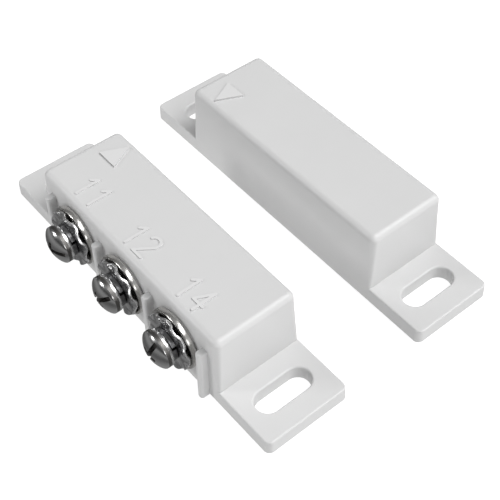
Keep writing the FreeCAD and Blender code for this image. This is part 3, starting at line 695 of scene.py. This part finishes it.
def wave_washer(name, phase):
    """Stamped clamping washer: flat round its hole, with a rim pressed into eight waves."""
    node = name + "_wave_washer"
    low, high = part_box(node)
    rim = radius_of(node)
    half_rise = (high[1] - low[1] - WAVE_THICKNESS) / 2
    radii = [WASHER_HOLE, 0.5 * (WASHER_HOLE + WAVE_HUB)]
    radii += [WAVE_HUB + (rim - WAVE_HUB) * step / WAVE_RINGS for step in range(WAVE_RINGS + 1)]
    ring = spun([(radius, 0.0) for radius in radii], WAVES * WAVE_STEPS)
    for vert in ring.verts:
        vert.co.z = wave_height(vert.co, rim, half_rise, phase)
    bmesh.ops.recalc_face_normals(ring, faces=ring.faces)
    bmesh.ops.solidify(ring, geom=ring.faces[:], thickness=WAVE_THICKNESS)
    heights = [vert.co.z for vert in ring.verts]
    bmesh.ops.translate(ring, vec=(0, 0, -(min(heights) + max(heights)) / 2), verts=ring.verts)
    bmesh.ops.recalc_face_normals(ring, faces=ring.faces)
    soften(ring, sharp_edges(ring, WAVE_CREASE), WAVE_EDGE, 3)
    place = Matrix.Translation(middle(node)) @ TO_TERMINAL
    piece = new_piece(name + "_fluted_washer", ring, place, "bright_zinc")
    stands_for(piece, node, name + "_washers")


def spring_washer(name):
    """Split ring of rectangular wire, its ends sheared and slightly offset."""
    node = name + "_spring_washer"
    low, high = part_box(node)
    thickness = high[1] - low[1]
    outer = radius_of(node)
    lift = SPLIT_LIFT * thickness
    tall = thickness - lift
    section = [(WASHER_HOLE, SPRING_CORNER), (WASHER_HOLE + SPRING_CORNER, 0.0), (outer - SPRING_CORNER, 0.0),
               (outer, SPRING_CORNER), (outer, tall - SPRING_CORNER), (outer - SPRING_CORNER, tall),
               (WASHER_HOLE + SPRING_CORNER, tall), (WASHER_HOLE, tall - SPRING_CORNER)]
    ring = spun(section + section[:1], SPRING_STEPS, rise=lift, turn=360.0 - SPLIT_GAP)
    bmesh.ops.holes_fill(ring, edges=open_edges(ring), sides=0)
    bmesh.ops.translate(ring, vec=(0, 0, -thickness / 2), verts=ring.verts)
    split = Matrix.Rotation(math.radians(SPLIT_PLACE + SPLIT_GAP / 2), 4, "Z")
    place = Matrix.Translation(middle(node)) @ TO_TERMINAL @ split
    piece = new_piece(name + "_split_washer", ring, place, "spring_steel")
    stands_for(piece, node, name + "_washers")


for terminal, drive_turn, wave_phase in zip(TERMINALS, DRIVE_TURNS, WAVE_PHASES):
    flanged_bush(terminal)
    terminal_screw(terminal, drive_turn)
    wave_washer(terminal, wave_phase)
    spring_washer(terminal)

# ---------------------------------------------------------------- base covers

COVER_THICKNESS = 1.2 * MM
COVER_CORNER = 0.6 * MM
COVER_EDGE = 0.12 * MM
LIP_THICKNESS = 0.8 * MM
LIP_SETBACK = 1.4 * MM              # cover edge to the lip's outer faces
EJECTOR_RADIUS = 1.25 * MM
EJECTOR_PLACES = (-0.82, -0.28, 0.28, 0.82)     # along the cover, as shares of its half length
GATE_RADIUS = 0.55 * MM
MARK_DEPTH = 0.15 * MM
MARK_STEPS = 40


def cover_plate(low, high):
    """Plate with rounded corners and broken edges."""
    plate = slab(low, (high[0], high[1], low[2] + COVER_THICKNESS))
    corners = [edge for edge in plate.edges
               if abs(edge.verts[0].co.z - edge.verts[1].co.z) > 0.5 * COVER_THICKNESS]
    soften(plate, corners, COVER_CORNER, 6)
    soften(plate, sharp_edges(plate, CREASE), COVER_EDGE, 3)
    return plate


def round_mark(x, y, z, radius):
    """Cutter for a shallow round mark in a face at height z."""
    pin = bmesh.new()
    bmesh.ops.create_cone(pin, cap_ends=True, segments=MARK_STEPS, radius1=radius, radius2=radius,
                          depth=2 * MARK_DEPTH)
    bmesh.ops.translate(pin, vec=(x, y, z), verts=pin.verts)
    return pin


def base_cover(node, body, name):
    """Cover plate with ejector pin marks, a gate mark and a locating lip at each end."""
    low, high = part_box(node)
    centre = middle(node)
    half_length = high[0] - centre.x
    marks = [round_mark(centre.x + share * half_length, centre.y, low[2], EJECTOR_RADIUS)
             for share in EJECTOR_PLACES]
    marks.append(round_mark(centre.x, centre.y, low[2], GATE_RADIUS))
    cover = carved(cover_plate(low, high), marks)
    for side in (-1, 1):
        outer = centre.x + side * (half_length - LIP_SETBACK)
        inner = outer - side * LIP_THICKNESS
        lip = slab((min(outer, inner), low[1] + LIP_SETBACK, low[2] + 0.5 * COVER_THICKNESS),
                   (max(outer, inner), high[1] - LIP_SETBACK, high[2]))
        soften(lip, lip.edges[:], COVER_EDGE, 2)
        cover = joined(cover, lip)
    stands_for(new_piece(name, cover, Matrix.Identity(4), "cover_plastic"), node, body)


base_cover("switch_base_cover", "switch_unit", "switch_cover_plate")
base_cover("magnet_base_cover", "magnet_unit", "magnet_cover_plate")

# ---------------------------------------------------------------- floor and light

FLOOR_REACH = 3.0                   # metres from the middle to each side
FLOOR_DROP = 0.01 * MM              # below the object, so that the faces don't meet
FLOOR_GREY = (0.3, 0.3, 0.3)
FLOOR_GLOW = 0.9                    # lit from below, as a light table is

SOFTBOXES = (                       # name, direction to it, distance and size in metres, watts
    ("key_softbox", (0.38, 0.44, 0.81), 2.0, (1.25, 1.25), 38.5),
    ("side_softbox", (0.93, -0.05, 0.36), 1.2, (0.5, 0.35), 2.7),
    ("front_window", (-0.5, -0.75, 0.42), 0.5, (0.10, 0.14), 0.75),
)

# brightness of the studio's walls from below (0) through the horizon (0.5) to straight above (1)
STUDIO_WALLS = ((0.01, 0.32), (0.09, 0.25), (0.16, 0.15), (0.24, 0.11), (0.34, 0.30), (0.43, 0.36),
                (0.49, 0.08), (0.57, 0.05), (0.70, 0.15), (0.99, 0.34))


def pale_floor():
    """Matt floor material that glows evenly."""
    material, tree, shader = new_material("pale_floor", Specular_IOR_Level=0.1, Roughness=0.9,
                                          Emission_Color=(1, 1, 1, 1), Emission_Strength=FLOOR_GLOW)
    cloud = noise(tree, object_place(tree), 6.0)
    tree.links.new(tint(tree, FLOOR_GREY, spread(tree, cloud, 0.98, 1.02)), shader.inputs["Base Color"])
    return material


def light_table():
    """The floor under the object, left out of reflections."""
    bm = bmesh.new()
    bmesh.ops.create_grid(bm, x_segments=1, y_segments=1, size=FLOOR_REACH)
    bmesh.ops.translate(bm, vec=(0, 0, cad_box[0][2] - FLOOR_DROP), verts=bm.verts)
    mesh = bpy.data.meshes.new("floor")
    bm.to_mesh(mesh)
    bm.free()
    mesh.materials.append(pale_floor())
    floor = bpy.data.objects.new("floor", mesh)
    scene.collection.objects.link(floor)
    floor.visible_glossy = False


def softbox(name, direction, distance, size, power):
    """An area light that faces the subject from a direction."""
    light = bpy.data.lights.new(name, "AREA")
    light.shape = "RECTANGLE"
    light.size, light.size_y = size
    light.energy = power
    lamp = bpy.data.objects.new(name, light)
    scene.collection.objects.link(lamp)
    away = Vector(direction).normalized()
    facing = away.to_track_quat("Z", "Y").to_matrix().to_4x4()
    lamp.matrix_world = Matrix.Translation(SUBJECT + away * distance) @ facing


def studio():
    """World whose brightness runs from the floor up the walls to the ceiling."""
    world = bpy.data.worlds.new("studio")
    world.use_nodes = True
    tree = world.node_tree
    direction = tree.nodes.new("ShaderNodeTexCoord").outputs["Generated"]
    level = add_node(tree, "ShaderNodeSeparateXYZ", {"Vector": direction}).outputs["Z"]
    walls = add_node(tree, "ShaderNodeValToRGB", {"Fac": maths(tree, "MULTIPLY_ADD", level, 0.5, 0.5)})
    stops = walls.color_ramp.elements
    for place, grey in STUDIO_WALLS:
        stops.new(place).color = (grey, grey, grey, 1)
    stops.remove(stops[0])
    stops.remove(stops[len(stops) - 1])
    tree.links.new(walls.outputs["Color"], tree.nodes["Background"].inputs["Color"])
    return world


light_table()
for lamp_values in SOFTBOXES:
    softbox(*lamp_values)
scene.world = studio()
scene.view_settings.view_transform = "Standard"
